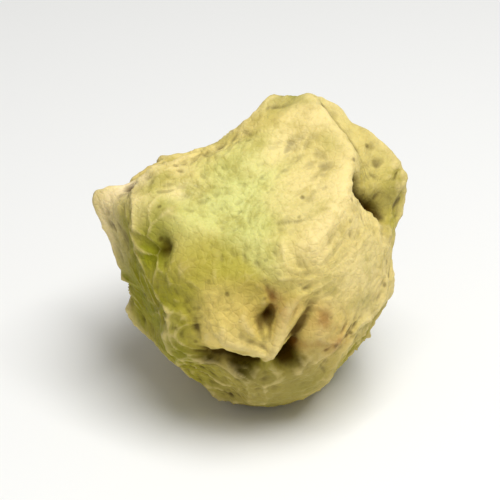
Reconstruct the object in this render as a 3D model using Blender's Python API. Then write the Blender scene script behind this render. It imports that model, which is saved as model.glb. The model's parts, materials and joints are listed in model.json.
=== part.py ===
"""Dried green peppercorn: one shrivelled berry, about 6 mm across, at rest on a small flat spot.

The berry is a sphere of triangles whose every point is moved in or out along its own
direction. How far is a sum of the marks that drying leaves on the skin: broad dents with
raised rims, bulges, crisp folds, creases, pits, a scar where the stalk was, and a fine
raised net. Places are given as longitude and latitude in degrees. Longitude 0 is the
front, -Y, and grows towards +X. Latitude grows upwards. Heights are in metres.
"""

from typing import NamedTuple

import bmesh
import bpy
import numpy as np

MM = 0.001

# The body before it dried out: half its width, depth and height.
BODY_RADII = (2.88 * MM, 2.84 * MM, 2.92 * MM)

# The flat spot that it rests on is cut this far above its lowest point.
FLAT_SPOT_DEPTH = 0.13 * MM

# Fineness of the worked surface, and the number of triangles that the solid keeps.
SPHERE_SUBDIVISIONS = 7
TRIANGLES_KEPT = 10400

# Scar of the stalk, at the back. Its disc and rim are in degrees across the berry, and a
# higher steepness gives the disc a sharper edge.
SCAR_PLACE = (178.0, 6.0)
SCAR_REACH = 9.0
SCAR_DEPTH = 0.34 * MM
SCAR_STEEPNESS = 8
SCAR_RIM_REACH = 1.35 * SCAR_REACH
SCAR_RIM_WIDTH = 3.0
SCAR_RIM_HEIGHT = 0.12 * MM

# Tip of the fruit, low at the front, where the skin is puckered.
TIP_PLACE = (6.0, -3.0)

# Raised net of wrinkles: number of cells, half width of a wrinkle in degrees, its height, how
# far the centres of the cells stray, and how far the skin sinks between the wrinkles.
NET_CELLS = 150
NET_WIDTH = 1.6
NET_HEIGHT = 0.08 * MM
NET_SEED = 13
NET_STRAYING = 0.6
NET_SINK = 0.2

# Bend of the frills: pitch, number of waves and size of the uneven part, twist for each
# degree out, the degrees over which a frill starts, and its share of sharp crests.
FRILL_PITCH = 0.8
FRILL_WAVES = 10
FRILL_BEND = 1.2
FRILL_TWIST = 0.02
FRILL_START = 1.5
FRILL_SHARPNESS = 0.6
FRILL_UNEVENNESS = 0.3

# Plane waves in each push.
PUSH_WAVES = 12

# How crisp the ridge is where two dents meet, and how wide a rim is beside its dent's reach.
DENT_CRISPNESS = 18.0 / MM
RIM_WIDTH = 0.15

# How steeply a fold falls off on either side.
FOLD_STEEPNESS = 1.4

# Straight down, where the skin is worn flat and has no wrinkles, out to so many degrees, and
# how sharply that stretch and the plump ones end.
UNDERSIDE = (0.0, -90.0)
WORN_REACH = 30.0
WORN_EDGE = 6
PLUMP_EDGE = 4

# How much of the net and of the swells is gone where the skin is plump.
PLUMP_NET_LOSS = 0.9
PLUMP_SWELL_LOSS = 0.6

# Uneven swell that makes some of the skin rougher than the rest: pitch, number of waves and
# seed, and the middle, spread and most of the share of the net that it lets show.
ROUGHNESS_PITCH = 1.0
ROUGHNESS_WAVES = 14
ROUGHNESS_SEED = 5
ROUGHNESS_MIDDLE = 0.6
ROUGHNESS_SPREAD = 0.5
ROUGHNESS_MOST = 1.3

SKIN_COLOUR = (0.50, 0.42, 0.13, 1.0)
SKIN_ROUGHNESS = 0.6


class Push(NamedTuple):
    """A swell that pushes every mark sideways; pitch and amount are shares of the radius."""
    pitch: float
    amount: float
    seed: int


class Swell(NamedTuple):
    """An uneven swell of the skin; its pitch is a share of the radius."""
    pitch: float
    height: float
    count: int
    seed: int


class Frill(NamedTuple):
    """Small folds that run out from a place, between two distances in degrees."""
    place: tuple
    count: int
    inner: float
    outer: float
    height: float
    seed: int


class Plump(NamedTuple):
    """A stretch of plump skin with hardly a wrinkle, out to its reach in degrees."""
    place: tuple
    reach: float


class Dent(NamedTuple):
    """A hollow with a rim; a higher power gives it a flatter floor and steeper sides."""
    place: tuple
    reach: float
    depth: float
    rim: float
    power: float


class Fold(NamedTuple):
    """A ridge along a row of places; a height below zero makes it a crease."""
    places: tuple
    heights: tuple
    half_width: float


class Mound(NamedTuple):
    """A round swelling, or a pit where its height is below zero."""
    place: tuple
    reach: float
    height: float


PUSHES = (
    Push(1.3, 0.04, 21),
    Push(0.55, 0.016, 22),
    Push(0.22, 0.004, 23),
)

NET_BEND = Push(0.4, 0.05, 31)

SWELLS = (
    Swell(0.75, 0.035 * MM, 16, 41),
    Swell(0.3, 0.014 * MM, 20, 43),
)

FRILLS = (
    Frill(TIP_PLACE, 11, 7.0, 19.0, 0.05 * MM, 3),
    Frill(SCAR_PLACE, 9, 12.0, 24.0, 0.07 * MM, 8),
)

PLUMPS = (
    # Upper facet.
    Plump((-10, 55), 44.0),
    # Bulge at the right of the tip.
    Plump((45, 14), 21.0),
)

DENTS = (
    # Upper facet.
    Dent((-20, 63), 43, 0.66 * MM, 0.05 * MM, 2.0),
    # Behind the upper left edge, which it keeps straight.
    Dent((-132, 60), 40, 0.64 * MM, 0.0, 2.0),
    # Front, above the tip.
    Dent((-14, 24), 17, 0.10 * MM, 0.0, 2.0),
    # Left, low.
    Dent((-66, -6), 24, 0.34 * MM, 0.0, 2.0),
    # Left, on either side of the flange.
    Dent((-47, 26), 9, 0.20 * MM, 0.0, 2.0),
    Dent((-67, 9), 13, 0.20 * MM, 0.0, 2.0),
    # Left, under the horn.
    Dent((-98, -2), 26, 0.42 * MM, 0.05 * MM, 3.0),
    # Right, under the lip.
    Dent((92, -4), 20, 0.32 * MM, 0.05 * MM, 3.0),
    # Below the tip, left and right.
    Dent((-24, -36), 18, 0.20 * MM, 0.06 * MM, 3.0),
    Dent((60, -34), 24, 0.20 * MM, 0.06 * MM, 3.0),
    # Right side, towards the back.
    Dent((126, 10), 23, 0.62 * MM, 0.15 * MM, 3.5),
    # Back, above the scar.
    Dent((160, 46), 22, 0.42 * MM, 0.12 * MM, 3.0),
    # Left side, towards the back.
    Dent((-144, 22), 25, 0.60 * MM, 0.14 * MM, 3.5),
    Dent((-112, -34), 22, 0.40 * MM, 0.10 * MM, 3.0),
    # Back, low.
    Dent((142, -36), 26, 0.46 * MM, 0.11 * MM, 3.0),
    Dent((-158, -32), 20, 0.44 * MM, 0.12 * MM, 3.0),
    # Low on both sides.
    Dent((-66, -50), 24, 0.20 * MM, 0.06 * MM, 3.0),
    Dent((100, -56), 24, 0.22 * MM, 0.06 * MM, 3.0),
    # Small ones.
    Dent((-112, 22), 11, 0.30 * MM, 0.10 * MM, 3.0),
    Dent((152, 6), 10, 0.26 * MM, 0.08 * MM, 3.0),
    Dent((84, -30), 9, 0.22 * MM, 0.06 * MM, 3.0),
)

FOLDS = (
    # Crest from the top peak along the upper left edge, down to the notch.
    Fold(((152, 62), (-178, 72), (-112, 58), (-82, 44), (-78, 37)),
         (0.52 * MM, 0.22 * MM, 0.08 * MM, 0.16 * MM, 0.0), 5.0),
    # Flange on the left, which starts as a blunt horn and thins out downwards.
    Fold(((-87, 25), (-89, 18), (-85, 13), (-79, 7), (-78, -4)),
         (0.04 * MM, 0.56 * MM, 0.46 * MM, 0.34 * MM, 0.18 * MM), 4.2),
    # Crest from the top peak to the right corner.
    Fold(((152, 62), (118, 52), (101, 36)), (0.52 * MM, 0.38 * MM, 0.72 * MM), 7.0),
    # Lip down the right side.
    Fold(((101, 36), (95, 26), (86, 12), (74, 0)), (0.72 * MM, 0.50 * MM, 0.08 * MM, 0.0), 5.0),
    # Pale ridge along the right of the upper facet.
    Fold(((140, 62), (84, 60), (52, 48), (34, 32)), (0.40 * MM, 0.32 * MM, 0.28 * MM, 0.10 * MM), 8.0),
    # Shoulder under the upper facet.
    Fold(((-66, 34), (-42, 38), (-12, 40), (12, 38), (34, 33)),
         (0.20 * MM, 0.12 * MM, 0.09 * MM, 0.08 * MM, 0.08 * MM), 7.0),
    # Folds round the tip.
    Fold(((21, 16), (14, 8), (8, -2), (6, -8), (5, -13)),
         (0.05 * MM, 0.18 * MM, 0.25 * MM, 0.18 * MM, 0.0), 3.2),
    Fold(((-3, -1), (6, -5)), (0.06 * MM, 0.20 * MM), 2.8),
    Fold(((29, 5), (32, -4), (30, -13)), (0.05 * MM, 0.10 * MM, 0.03 * MM), 4.2),
    # Small upright fold on the left.
    Fold(((-44, 10), (-40, 0), (-43, -10)), (0.04 * MM, 0.14 * MM, 0.04 * MM), 5.0),
    # Crease between the pale ridge and the lip.
    Fold(((69, 52), (67, 44), (71, 37), (76, 29), (78, 21)),
         (-0.10 * MM, -0.60 * MM, -0.66 * MM, -0.30 * MM, -0.03 * MM), 4.0),
    # Creases round the tip.
    Fold(((-28, -11), (-16, -13), (-7, -12), (0, -13)),
         (-0.06 * MM, -0.28 * MM, -0.54 * MM, -0.24 * MM), 4.2),
    Fold(((25, 13), (23, 5), (17, -4), (12, -12), (13, -20)),
         (-0.04 * MM, -0.16 * MM, -0.26 * MM, -0.56 * MM, -0.08 * MM), 3.6),
    Fold(((8, 20), (7, 13), (6, 7)), (-0.03 * MM, -0.08 * MM, -0.36 * MM), 3.4),
    # Creases on the left.
    Fold(((-51, 30), (-46, 26), (-43, 21)), (-0.03 * MM, -0.15 * MM, -0.03 * MM), 3.8),
    Fold(((-34, 12), (-27, 4), (-24, -6)), (-0.02 * MM, -0.08 * MM, -0.03 * MM), 4.0),
)

MOUNDS = (
    # Thick root of the horn on the left.
    Mound((-87, 16), 8, 0.32 * MM),
    # Round belly under the tip.
    Mound((14, -50), 34, 0.26 * MM),
    Mound((38, 24), 20, 0.12 * MM),
    Mound((-8, 0), 9, 0.22 * MM),
    Mound((25, -9), 8, 0.14 * MM),
    # Fillings between folds, behind the top peak and beside the lip.
    Mound((144, 72), 8, 0.18 * MM),
    Mound((91, 31), 5, 0.22 * MM),
    # Filling between the horn and the left edge.
    Mound((-73, 21), 6, 0.16 * MM),
    # Pits.
    Mound((6, 18), 9, -0.07 * MM),
    Mound((106, -22), 3.2, -0.34 * MM),
    Mound((-120, 44), 3.6, -0.34 * MM),
    Mound((-84, -34), 3.2, -0.28 * MM),
)


def unit(vectors):
    """Vectors scaled to a length of one."""
    return vectors / np.linalg.norm(vectors, axis=-1, keepdims=True)


def direction(place):
    """Unit direction of a longitude and latitude."""
    longitude, latitude = np.radians(place)
    return np.array((
        np.sin(longitude) * np.cos(latitude),
        -np.cos(longitude) * np.cos(latitude),
        np.sin(latitude),
    ))


def degrees_from(points, centre):
    """Angle between each direction and one centre."""
    return np.degrees(np.arccos(np.clip(points @ centre, -1.0, 1.0)))


def waves(points, pitch, count, seed):
    """Smooth uneven swell of about +-1: a sum of plane waves of nearly one pitch."""
    random = np.random.default_rng(seed)
    ways = unit(random.normal(size=(count, 3))) * (2.0 * np.pi / pitch)
    ways = ways * random.uniform(0.7, 1.3, (count, 1))
    phases = random.uniform(0.0, 2.0 * np.pi, count)
    return np.cos(points @ ways.T + phases).sum(axis=1) * np.sqrt(2.0 / count)


def warp(points, push):
    """Directions pushed about by three swells, so that no mark stays a plain circle or line."""
    shift = np.stack([waves(points, push.pitch, PUSH_WAVES, push.seed + axis) for axis in range(3)], axis=1)
    return unit(points + push.amount * shift)


def pushed(directions):
    """Directions after every push; all the marks are placed by them."""
    points = directions
    for push in PUSHES:
        points = warp(points, push)
    return points


def along_stretch(points, start, end):
    """Degrees from the great-circle stretch between two directions, and the share along it."""
    normal = unit(np.cross(start, end))
    off_plane = points @ normal
    in_plane = points - np.outer(off_plane, normal)
    span = np.arctan2(np.linalg.norm(np.cross(start, end)), start @ end)
    turned = np.arctan2(np.cross(start, in_plane) @ normal, in_plane @ start)
    share = turned / span
    to_start = degrees_from(points, start)
    to_end = degrees_from(points, end)
    beside = (share >= 0.0) & (share <= 1.0)
    distance = np.where(beside, np.degrees(np.arcsin(np.abs(off_plane))), np.minimum(to_start, to_end))
    return distance, np.where(beside, share, (to_end < to_start).astype(float))


def dented(points):
    """Depth of the deepest dent at each direction, blended where dents meet, less its rim.

    A dent is deepest at its place and falls to nothing at its reach. Where two meet, the
    deeper one wins, which leaves a crisp ridge between them.
    """
    depths = [np.zeros(len(points))]
    rims = np.zeros(len(points))
    for dent in DENTS:
        share = degrees_from(points, direction(dent.place)) / dent.reach
        depths.append(dent.depth * (1.0 - share ** dent.power))
        rims = np.maximum(rims, dent.rim * np.exp(-((share - 1.0) / RIM_WIDTH) ** 2))
    depths = np.stack(depths) * DENT_CRISPNESS
    deepest = depths.max(axis=0)
    blended = (deepest + np.log(np.exp(depths - deepest).sum(axis=0))) / DENT_CRISPNESS
    return blended - rims


def folded(points):
    """Heights of the highest ridge and of the deepest crease at each direction."""
    ridges = np.zeros(len(points))
    creases = np.zeros(len(points))
    for fold in FOLDS:
        ends = [direction(place) for place in fold.places]
        for index, start in enumerate(ends[:-1]):
            distance, share = along_stretch(points, start, ends[index + 1])
            first, last = fold.heights[index:index + 2]
            height = first + (last - first) * share
            height = height / (1.0 + (distance / fold.half_width) ** 2) ** FOLD_STEEPNESS
            ridges = np.maximum(ridges, height)
            creases = np.minimum(creases, height)
    return ridges, creases


def mounded(points):
    """Height of the swellings and pits, each a smooth round bell."""
    height = np.zeros(len(points))
    for mound in MOUNDS:
        share = degrees_from(points, direction(mound.place)) / mound.reach
        height += mound.height * np.exp(-share ** 2)
    return height


def net_of_wrinkles(points, cells, width, height, seed):
    """Raised net: a crest along the borders between cells spread evenly over the berry.

    The cells' centres follow a spiral from pole to pole, each pushed off it by chance. A
    point's distance from a border is half of how much nearer its nearest centre is than
    the second, and the crest falls off with it.
    """
    random = np.random.default_rng(seed)
    number = np.arange(cells) + 0.5
    level = 1.0 - 2.0 * number / cells
    turn = np.pi * (1.0 + 5.0 ** 0.5) * number
    radius = np.sqrt(1.0 - level ** 2)
    centres = np.stack([radius * np.cos(turn), radius * np.sin(turn), level], axis=1)
    centres = unit(centres + random.normal(size=centres.shape) * NET_STRAYING / np.sqrt(cells))
    closeness = np.sort(warp(points, NET_BEND) @ centres.T, axis=1)[:, -2:]
    nearest = np.degrees(np.arccos(np.clip(closeness, -1.0, 1.0)))
    border = (nearest[:, 0] - nearest[:, 1]) / 2.0
    return height * (np.exp(-border / width) - NET_SINK)


def frilled(points, frill):
    """Height of one frill: waves round its place, half of them rounded and half sharp crests."""
    centre = direction(frill.place)
    side = unit(np.cross((0.0, 0.0, 1.0), centre))
    turn = np.arctan2(points @ np.cross(centre, side), points @ side)
    distance = degrees_from(points, centre)
    bend = FRILL_BEND * waves(points, FRILL_PITCH, FRILL_WAVES, frill.seed) + FRILL_TWIST * distance
    phase = frill.count * turn + bend
    rounded = np.cos(phase) * (1.0 - FRILL_UNEVENNESS + FRILL_UNEVENNESS * np.cos(2.0 * turn + frill.seed))
    sharp = 1.0 - 2.0 * np.abs(np.sin(0.5 * phase))
    beyond = np.maximum(distance - frill.inner, 0.0) / (frill.outer - frill.inner)
    within = 1.0 / (1.0 + np.exp((frill.inner - distance) / FRILL_START))
    swell = (1.0 - FRILL_SHARPNESS) * rounded + FRILL_SHARPNESS * sharp
    return frill.height * swell * np.exp(-beyond ** 2) * within


def stalk_scar(points):
    """Sunken round disc with a raised rim."""
    distance = degrees_from(points, direction(SCAR_PLACE))
    disc = -SCAR_DEPTH / (1.0 + (distance / SCAR_REACH) ** SCAR_STEEPNESS)
    return disc + SCAR_RIM_HEIGHT * np.exp(-((distance - SCAR_RIM_REACH) / SCAR_RIM_WIDTH) ** 2)


def plumpness(points):
    """How plump the skin is at each direction, from 0 to 1."""
    share = np.zeros(len(points))
    for stretch in PLUMPS:
        distance = degrees_from(points, direction(stretch.place))
        share = np.maximum(share, np.exp(-(distance / stretch.reach) ** PLUMP_EDGE))
    return share


def skin_radius(directions):
    """Distance of the skin from the berry's middle, in each direction.

    The body's ellipsoid, less its dents, plus its folds, mounds, net, frills, scar and swells.
    """
    radius = 1.0 / np.sqrt(((directions / BODY_RADII) ** 2).sum(axis=1))
    points = pushed(directions)
    ridges, creases = folded(points)
    plump = plumpness(points)
    unworn = 1.0 - np.exp(-(degrees_from(points, direction(UNDERSIDE)) / WORN_REACH) ** WORN_EDGE)
    rough = ROUGHNESS_SPREAD * waves(points, ROUGHNESS_PITCH, ROUGHNESS_WAVES, ROUGHNESS_SEED)
    rough = np.clip(ROUGHNESS_MIDDLE + rough, 0.0, ROUGHNESS_MOST)
    rough = rough * (1.0 - PLUMP_NET_LOSS * plump) * unworn
    radius += ridges + creases + mounded(points) + stalk_scar(points) - dented(points)
    radius += rough * net_of_wrinkles(points, NET_CELLS, NET_WIDTH, NET_HEIGHT, NET_SEED)
    for frill in FRILLS:
        radius += frilled(points, frill)
    for swell in SWELLS:
        strength = swell.height * (1.0 - PLUMP_SWELL_LOSS * plump) * unworn
        radius += strength * waves(points, swell.pitch, swell.count, swell.seed)
    return radius


def clear_scene():
    """Removes every object that the scene starts with."""
    for item in list(bpy.data.objects):
        bpy.data.objects.remove(item, do_unlink=True)


def skin_material():
    """Dried skin: dull, waxy, green to straw."""
    material = bpy.data.materials.new("dried_skin")
    material.use_nodes = True
    shader = material.node_tree.nodes["Principled BSDF"]
    shader.inputs["Base Color"].default_value = SKIN_COLOUR
    shader.inputs["Roughness"].default_value = SKIN_ROUGHNESS
    shader.inputs["Metallic"].default_value = 0.0
    material.diffuse_color = SKIN_COLOUR
    return material


def skin_surface():
    """Closed surface of the berry, at its full fineness, as a mesh."""
    sphere = bmesh.new()
    bmesh.ops.create_icosphere(sphere, subdivisions=SPHERE_SUBDIVISIONS, radius=1.0)
    mesh = bpy.data.meshes.new("peppercorn_fine")
    sphere.to_mesh(mesh)
    sphere.free()
    places = np.empty(len(mesh.vertices) * 3)
    mesh.vertices.foreach_get("co", places)
    directions = unit(places.reshape(-1, 3))
    points = directions * skin_radius(directions)[:, np.newaxis]
    mesh.vertices.foreach_set("co", points.ravel())
    mesh.update()
    return mesh


def thinned(berry):
    """The berry's mesh with its flatter triangles merged, down to the number kept."""
    thin = berry.modifiers.new("Thin out", "DECIMATE")
    thin.ratio = TRIANGLES_KEPT / len(berry.data.polygons)
    graph = bpy.context.evaluated_depsgraph_get()
    mesh = bpy.data.meshes.new_from_object(berry.evaluated_get(graph))
    berry.modifiers.remove(thin)
    return mesh


def set_down(mesh):
    """Cuts the flat spot, and moves the berry so that the spot is at z = 0 under its middle."""
    work = bmesh.new()
    work.from_mesh(mesh)
    floor = min(vertex.co.z for vertex in work.verts) + FLAT_SPOT_DEPTH
    everything = work.verts[:] + work.edges[:] + work.faces[:]
    cut = bmesh.ops.bisect_plane(
        work,
        geom=everything,
        dist=0.001 * MM,
        plane_co=(0.0, 0.0, floor),
        plane_no=(0.0, 0.0, 1.0),
        clear_inner=True,
    )
    rim = [item for item in cut["geom_cut"] if isinstance(item, bmesh.types.BMEdge)]
    for edge in rim:
        for vertex in edge.verts:
            vertex.co.z = floor
    bmesh.ops.contextual_create(work, geom=rim)
    bmesh.ops.recalc_face_normals(work, faces=work.faces[:])
    places = np.array([vertex.co for vertex in work.verts])
    low = places.min(axis=0)
    high = places.max(axis=0)
    middle = (low + high) / 2.0
    bmesh.ops.translate(work, verts=work.verts[:], vec=(-middle[0], -middle[1], -low[2]))
    work.to_mesh(mesh)
    work.free()


def make_peppercorn(collection):
    """The whole berry, one closed solid."""
    berry = bpy.data.objects.new("peppercorn", skin_surface())
    collection.objects.link(berry)
    fine = berry.data
    berry.data = thinned(berry)
    bpy.data.meshes.remove(fine)
    set_down(berry.data)
    berry.data.name = "peppercorn"
    berry.data.shade_smooth()
    berry.data.materials.append(skin_material())
    return berry


def main():
    """Clears the scene and makes the peppercorn in a collection of its own."""
    clear_scene()
    collection = bpy.data.collections.new("dried_green_peppercorn")
    bpy.context.scene.collection.children.link(collection)
    make_peppercorn(collection)


main()
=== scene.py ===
"""Dried green peppercorn: one shrivelled berry, life size, on a plain pale floor.

The skin is a sphere whose every point is moved in or out along its own direction, by the
same dents, folds, creases, pits, scar and net as the solid that it stands for. On top of
them it has two finer nets of wrinkles, and the cells, pores and colours of dried fruit skin.
Some of those colours are painted shade, in its dents, pits and creases and on its front, and
some are painted light, on the bumps round its tip.
Places are given as longitude and latitude in degrees: longitude 0 is the front, -Y, and grows
towards +X, and latitude grows upwards. Sizes are in metres.
"""

import json
import math
from typing import NamedTuple

import bpy
import numpy as np
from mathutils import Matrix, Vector

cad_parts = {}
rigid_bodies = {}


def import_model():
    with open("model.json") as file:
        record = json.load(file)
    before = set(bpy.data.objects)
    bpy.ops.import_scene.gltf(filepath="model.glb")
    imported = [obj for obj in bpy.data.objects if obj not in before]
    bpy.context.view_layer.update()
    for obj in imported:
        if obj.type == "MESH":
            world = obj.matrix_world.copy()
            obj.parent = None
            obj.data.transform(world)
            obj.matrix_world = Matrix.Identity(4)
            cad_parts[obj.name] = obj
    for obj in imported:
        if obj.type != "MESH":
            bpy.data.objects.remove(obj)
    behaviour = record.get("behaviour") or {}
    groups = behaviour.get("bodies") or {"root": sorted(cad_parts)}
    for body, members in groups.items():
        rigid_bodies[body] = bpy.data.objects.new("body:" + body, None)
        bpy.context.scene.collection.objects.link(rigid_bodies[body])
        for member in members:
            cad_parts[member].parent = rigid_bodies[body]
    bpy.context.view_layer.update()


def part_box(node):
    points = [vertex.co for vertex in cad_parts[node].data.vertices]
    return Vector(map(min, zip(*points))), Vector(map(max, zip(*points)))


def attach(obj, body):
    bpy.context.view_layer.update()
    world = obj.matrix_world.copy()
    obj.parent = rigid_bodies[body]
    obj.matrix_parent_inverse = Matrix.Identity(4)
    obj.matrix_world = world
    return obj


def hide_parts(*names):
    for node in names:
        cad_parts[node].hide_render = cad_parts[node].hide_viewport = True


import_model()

bl_info = {
    "name": "Dried Green Peppercorn",
    "version": (1, 0, 0),
    "blender": (4, 5, 0),
    "location": "View3D > Sidebar > Peppercorn",
    "description": "Makes one dried green peppercorn with its skin, its scar and a plain studio",
    "category": "Add Mesh",
}

MM = 0.001
NODE = "peppercorn"
BODY = "root"

LOW_CORNER, HIGH_CORNER = (Vector(corner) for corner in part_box(NODE))
MIDDLE = (LOW_CORNER + HIGH_CORNER) / 2.0
WIDTH = HIGH_CORNER.x - LOW_CORNER.x

# The body before it dried out: half its width, depth and height.
BODY_RADII = (2.88 * MM, 2.84 * MM, 2.92 * MM)

# Scar of the stalk, at the back. Its disc and rim are in degrees across the berry, and a
# higher steepness gives the disc a sharper edge.
SCAR_PLACE = (178.0, 6.0)
SCAR_REACH = 9.0
SCAR_DEPTH = 0.34 * MM
SCAR_STEEPNESS = 8
SCAR_RIM_REACH = 1.35 * SCAR_REACH
SCAR_RIM_WIDTH = 3.0
SCAR_RIM_HEIGHT = 0.12 * MM

# Tip of the fruit, low at the front, where the skin is puckered.
TIP_PLACE = (6.0, -3.0)

# How far the centres of a net's cells stray from even places; a finer net's stray less.
NET_STRAYING = 0.6

# Bend of the frills: pitch, number of waves and size of the uneven part, twist for each
# degree out, the degrees over which a frill starts, and its share of sharp crests.
FRILL_PITCH = 0.8
FRILL_WAVES = 10
FRILL_BEND = 1.2
FRILL_TWIST = 0.02
FRILL_START = 1.5
FRILL_SHARPNESS = 0.6
FRILL_UNEVENNESS = 0.3

# Plane waves in each push, and how far the pitches of waves stray from the one asked for.
PUSH_WAVES = 12
PITCH_SPREAD = 0.3

# How crisp the ridge is where two dents meet, and how wide a rim is beside its dent's reach.
DENT_CRISPNESS = 18.0 / MM
RIM_WIDTH = 0.15

# How steeply a fold falls off on either side.
FOLD_STEEPNESS = 1.4

# Straight down, where the skin is worn flat and has no wrinkles, out to so many degrees, and
# how sharply that stretch and the plump ones end.
UNDERSIDE = (0.0, -90.0)
WORN_REACH = 30.0
WORN_EDGE = 6
PLUMP_EDGE = 4

# How much of the net and of the swells is gone where the skin is plump.
PLUMP_NET_LOSS = 0.9
PLUMP_SWELL_LOSS = 0.6

# Share of their height that the finest wrinkles keep where the skin is smooth.
FINE_LEAST = 0.55

# Torn rings in the floor of the scar: their spacing in degrees and their height, and the pitch,
# number of waves and seed of what tears them.
TORN_RING_WIDTH = 2.6
TORN_RING_HEIGHT = 0.02 * MM
TORN_PITCH = 0.12
TORN_WAVES = 16
TORN_SEED = 71

# How many points are compared with the net's cells at once, to save memory.
POINTS_AT_ONCE = 8192

# The skin around a point is averaged this many times, near and wide, to tell what stands
# proud of it, and these heights count as one.
NEAR_ROUNDS = 24
WIDE_ROUNDS = 320
NEAR_RELIEF = 0.016 * MM
WIDE_RELIEF = 0.05 * MM

# Depth that counts as one in the creases.
CREASE_RELIEF = 0.4 * MM

# Names under which the mesh keeps its relief and the depth of its creases.
NEAR = "near_relief"
WIDE = "wide_relief"
CREASE = "crease"

# Dark specks, about one in so many millimetres. The skin's own cells, some 0.03 mm across, are
# too fine to show in the render, so they are drawn as coarse as they need to be to show.
SPECK_PITCH = 0.34
CELL_PITCH = 0.15

# Bumps of the skin's cells and of its pores: how strong they are, and how high.
CELL_BUMP = 0.42
CELL_HEIGHT = 0.016 * MM
PORE_BUMP = 0.7
PORE_HEIGHT = 0.014 * MM

# Plant wax bends light a little less than glass does.
SKIN_IOR = 1.46

# Light that soaks into the dried flesh: its share, how far each colour goes, and the depth.
SOAK_SHARE = 0.12
SOAK_COLOURS = (1.0, 0.75, 0.25)
SOAK_DEPTH = 0.35 * MM

# How much richer the finished colour is than the mixed one.
SATURATION = 1.05

# Sockets of the node that mixes two colours.
MIX_FACTOR = 0
MIX_UNDER = 6
MIX_OVER = 7
MIX_RESULT = 2

# Floor of matt card: its radius, its sides, its rings as shares of the radius, and its finish.
FLOOR_RADIUS = 2.0
FLOOR_SIDES = 64
FLOOR_RINGS = (0.02, 0.1, 0.4, 1.0)
FLOOR_ROUGHNESS = 0.9

# Lights, as places from the berry's middle, and the farthest thing that the camera sees.
KEY_PLACE = Vector((0.014, -0.012, 0.059))
KEY_SIZE = 0.040
FILL_PLACE = Vector((-0.030, -0.060, 0.030))
FILL_SIZE = 0.060
FARTHEST = 10.0


class Push(NamedTuple):
    """A swell that pushes every mark sideways; pitch and amount are shares of the radius."""
    pitch: float
    amount: float
    seed: int


class Swell(NamedTuple):
    """An uneven swell of the skin; its pitch is a share of the radius."""
    pitch: float
    height: float
    count: int
    seed: int


class Frill(NamedTuple):
    """Small folds that run out from a place, between two distances in degrees."""
    place: tuple
    count: int
    inner: float
    outer: float
    height: float
    seed: int


class Plump(NamedTuple):
    """A stretch of plump skin with hardly a wrinkle, out to its reach in degrees."""
    place: tuple
    reach: float


class Dent(NamedTuple):
    """A hollow with a rim; a higher power gives it a flatter floor and steeper sides."""
    place: tuple
    reach: float
    depth: float
    rim: float
    power: float


class Fold(NamedTuple):
    """A ridge along a row of places; a height below zero makes it a crease."""
    places: tuple
    heights: tuple
    half_width: float


class Mound(NamedTuple):
    """A round swelling, or a pit where its height is below zero."""
    place: tuple
    reach: float
    height: float


class Net(NamedTuple):
    """A raised net: how many cells, half a wrinkle's width in degrees, its height, and the
    share of that height by which the skin between the wrinkles sinks."""
    cells: int
    width: float
    height: float
    sink: float
    seed: int


class Strength(NamedTuple):
    """How strongly a net shows: an uneven swell round a middle value, held under a most."""
    middle: float
    spread: float
    most: float
    pitch: float
    count: int
    seed: int


class Spot(NamedTuple):
    """A round spot of colour; a higher power gives it a sharper edge."""
    place: tuple
    reach: float
    power: float


class Mark(NamedTuple):
    """Uneven marks of about one pitch in millimetres, with finer ones in them."""
    pitch: float
    detail: float
    roughness: float


class Mask(NamedTuple):
    """Two values of a pattern, and what they are turned into, with the ones between."""
    pattern: str
    low: float = 0.0
    high: float = 1.0
    at_low: float = 0.0
    at_high: float = 1.0


class Layer(NamedTuple):
    """One of the panel's colours, the masks that it shows through, and how it is laid on."""
    colour: str
    masks: tuple
    blend: str = "MIX"


# Pushes that every mark on the berry gets, from wide to narrow.
PUSHES = (
    Push(1.3, 0.04, 21),
    Push(0.55, 0.016, 22),
    Push(0.22, 0.004, 23),
)

# Nets of wrinkles from coarse to fine, and the push that bends their lines. The finest net
# only shows close to, and its height is a share of the fine wrinkles' height.
NET = Net(150, 1.6, 0.08 * MM, 0.2, 13)
SOFT_NET = Net(420, 1.3, 0.05 * MM, 0.45, 29)
FINE_NET = Net(1100, 0.8, 1.0, 0.2, 17)
NET_BEND = Push(0.4, 0.05, 31)

# How strongly the coarse net and the soft one show from place to place.
NET_STRENGTH = Strength(0.6, 0.5, 1.3, 1.0, 14, 5)
SOFT_NET_STRENGTH = Strength(0.5, 0.6, 1.3, 0.9, 16, 87)

# Swells of the whole skin.
SWELLS = (
    Swell(0.75, 0.035 * MM, 16, 41),
    Swell(0.3, 0.014 * MM, 20, 43),
)

FRILLS = (
    Frill(TIP_PLACE, 11, 7.0, 19.0, 0.05 * MM, 3),
    Frill(SCAR_PLACE, 9, 12.0, 24.0, 0.07 * MM, 8),
)

PLUMPS = (
    # Upper facet.
    Plump((-10, 55), 44.0),
    # Bulge at the right of the tip.
    Plump((45, 14), 21.0),
)

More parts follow.
